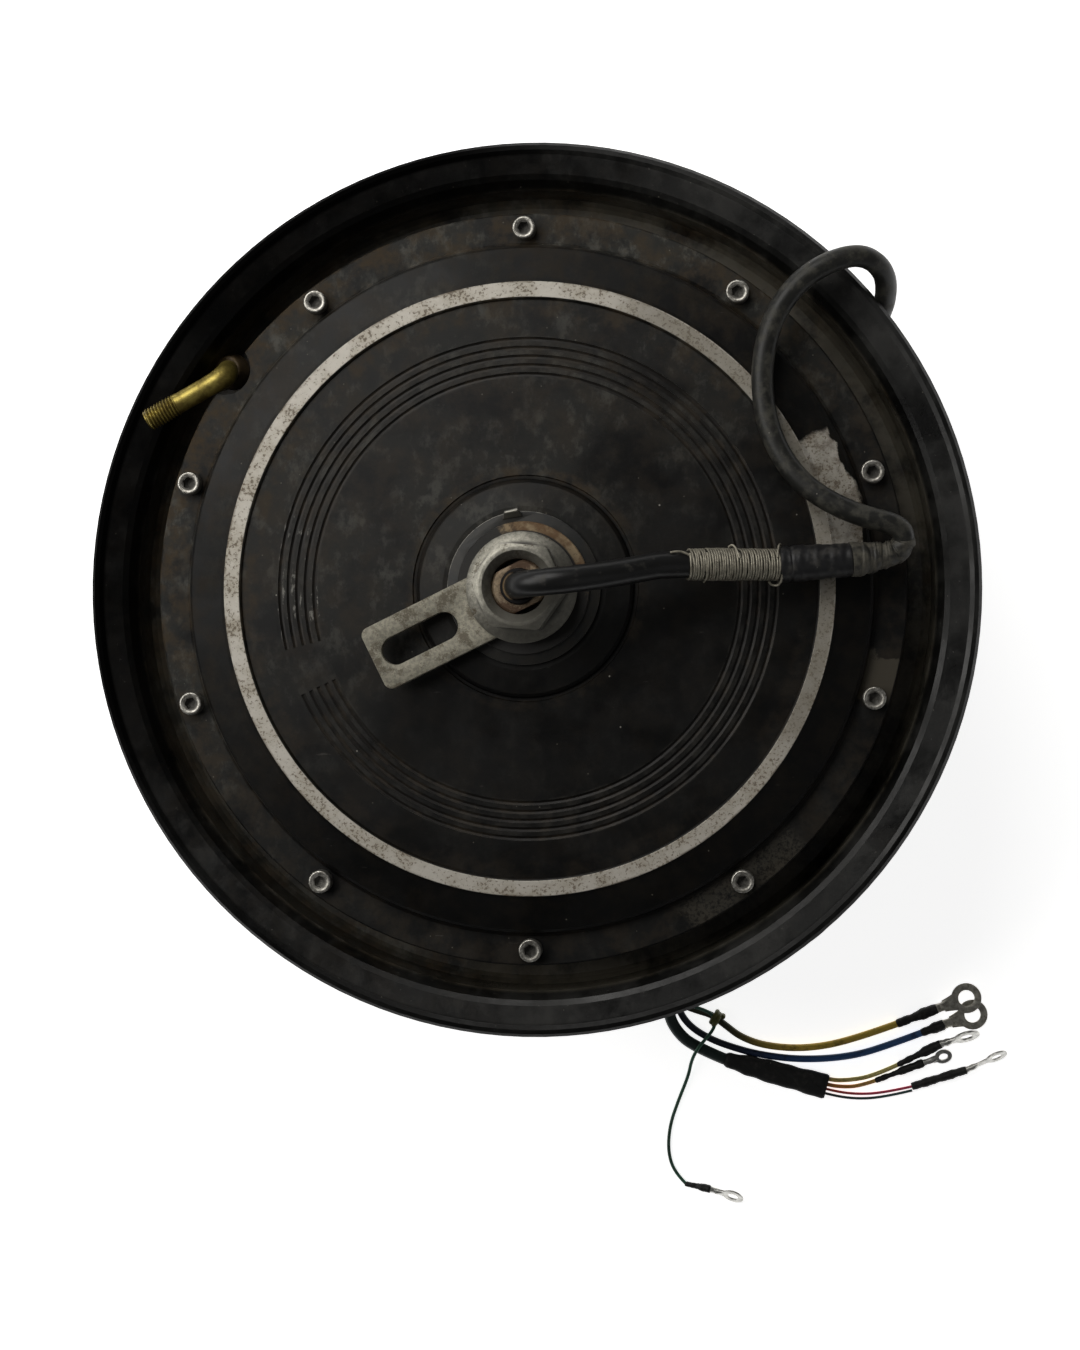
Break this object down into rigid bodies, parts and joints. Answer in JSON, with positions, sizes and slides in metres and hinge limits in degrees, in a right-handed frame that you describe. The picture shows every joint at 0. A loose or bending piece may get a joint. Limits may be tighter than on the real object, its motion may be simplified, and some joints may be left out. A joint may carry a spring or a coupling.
{
  "type": "hub motor wheel",
  "caption": "Hub motor wheel: a tubeless rim cast with a brushless motor drum that spins on a hollow fixed axle, with torque arm, bent valve and motor cable.",
  "frame": {"origin": "on the axle's axis, on the surface that the closed cover's boss rests on", "axes": "+Z along the axle towards the cable side; the cable leaves the axle towards +X; +Y completes the right-handed frame"},
  "size_m": [0.3501, 0.4144, 0.1622],
  "materials": {
    "black_paint": "satin black powder coat on cast aluminium, dusty and worn",
    "machined_steel": "turned steel",
    "cast_aluminium": "as cast",
    "lamination_steel": "stacked electrical steel",
    "white_insulator": "moulded end plate",
    "copper_winding": "enamelled copper wire under varnish",
    "circuit_board": "solder resist",
    "black_plastic": "moulded",
    "bearing_steel": "ground and polished",
    "rusty_steel": "turned steel with surface rust",
    "dark_steel": "blackened steel",
    "galvanised_steel": "zinc coated, dull and mottled",
    "zinc_steel": "zinc plated, dull",
    "screw_steel": "stainless steel",
    "binding_wire": "close wound wire",
    "tinned_copper": "tin plated",
    "nickel_magnet": "nickel plated",
    "brass": "tarnished brass",
    "black_rubber": "matt cable jacket",
    "black_shrink": "shrunk sleeve",
    "brown_rubber": "aged rubber",
    "gasket_paper": "oiled paper",
    "yellow_insulation": "wire insulation",
    "blue_insulation": "wire insulation",
    "pale_insulation": "wire insulation",
    "orange_insulation": "wire insulation",
    "red_insulation": "wire insulation",
    "green_insulation": "wire insulation",
    "dark_green_insulation": "wire insulation"
  },
  "bodies": {
    "axle_side": {"axle": "machined_steel", "stator_carrier": "cast_aluminium", "stator_core": "lamination_steel", "upper_slot_insulator": "white_insulator", "lower_slot_insulator": "white_insulator", "phase_a_coils": "copper_winding", "phase_b_coils": "copper_winding", "phase_c_coils": "copper_winding", "hall_board": "circuit_board", "hall_sensors": "black_plastic", "inner_phase_leads": "blue_insulation", "inner_sensor_lead": "black_rubber", "inner_cable": "black_rubber", "upper_bearing_inner_ring": "bearing_steel", "lower_bearing_inner_ring": "bearing_steel", "axle_spacer": "rusty_steel", "tab_washer": "dark_steel", "torque_arm": "galvanised_steel", "axle_nut": "zinc_steel", "cable_bush": "brown_rubber", "motor_cable": "black_rubber", "wire_binding": "binding_wire", "splice_sleeve": "black_shrink", "extension_cable": "black_rubber", "breakout_sleeve": "black_shrink", "yellow_phase_wire": "yellow_insulation", "yellow_lead_lug": "tinned_copper", "blue_phase_wire": "blue_insulation", "blue_lead_lug": "tinned_copper", "sensor_bundle": "dark_green_insulation", "sensor_sleeve": "black_shrink", "pale_sensor_wire": "pale_insulation", "pale_lead_lug": "tinned_copper", "orange_sensor_wire": "orange_insulation", "orange_lead_lug": "tinned_copper", "red_sensor_wire": "red_insulation", "red_lead_lug": "tinned_copper", "green_sensor_wire": "dark_green_insulation", "ground_wire": "green_insulation", "ground_lead_lug": "tinned_copper", "lead_end_sleeves": "black_shrink"},
    "wheel": {"rim": "black_paint", "rotor_ring": "machined_steel", "magnets": "nickel_magnet", "upper_cover": "black_paint", "lower_cover": "black_paint", "upper_cover_screws": "screw_steel", "lower_cover_screws": "screw_steel", "upper_cover_gasket": "gasket_paper", "lower_cover_gasket": "gasket_paper", "upper_bearing_outer_ring": "bearing_steel", "lower_bearing_outer_ring": "bearing_steel", "shaft_seal": "brown_rubber", "valve_grommet": "brown_rubber", "valve_stem": "brass"},
    "upper_cage": {"upper_bearing_cage": "bearing_steel", "upper_bearing_balls": "bearing_steel"},
    "lower_cage": {"lower_bearing_cage": "bearing_steel", "lower_bearing_balls": "bearing_steel"},
    "valve_core": {"valve_pin": "brass"}
  },
  "joints": [
    {"name": "wheel_spin", "type": "hinge", "parent": "axle_side", "child": "wheel", "pos_m": [0, 0, 0.062], "axis": [0, 0, 1], "continuous": true},
    {"name": "upper_cage_spin", "type": "hinge", "parent": "axle_side", "child": "upper_cage", "pos_m": [0, 0, 0.1085], "axis": [0, 0, 1], "continuous": true},
    {"name": "lower_cage_spin", "type": "hinge", "parent": "axle_side", "child": "lower_cage", "pos_m": [0, 0, 0.0125], "axis": [0, 0, 1], "continuous": true},
    {"name": "valve_press", "type": "slide", "parent": "wheel", "child": "valve_core", "axis": [0.8705, 0.49, -0.0461], "range_m": [0, 0.0012], "stiffness_N_per_m": 600, "springref_m": -0.0015}
  ],
  "couplings": [
    {"joint": "upper_cage_spin", "follows": "wheel_spin", "ratio": 0.596},
    {"joint": "lower_cage_spin", "follows": "wheel_spin", "ratio": 0.61}
  ]
}
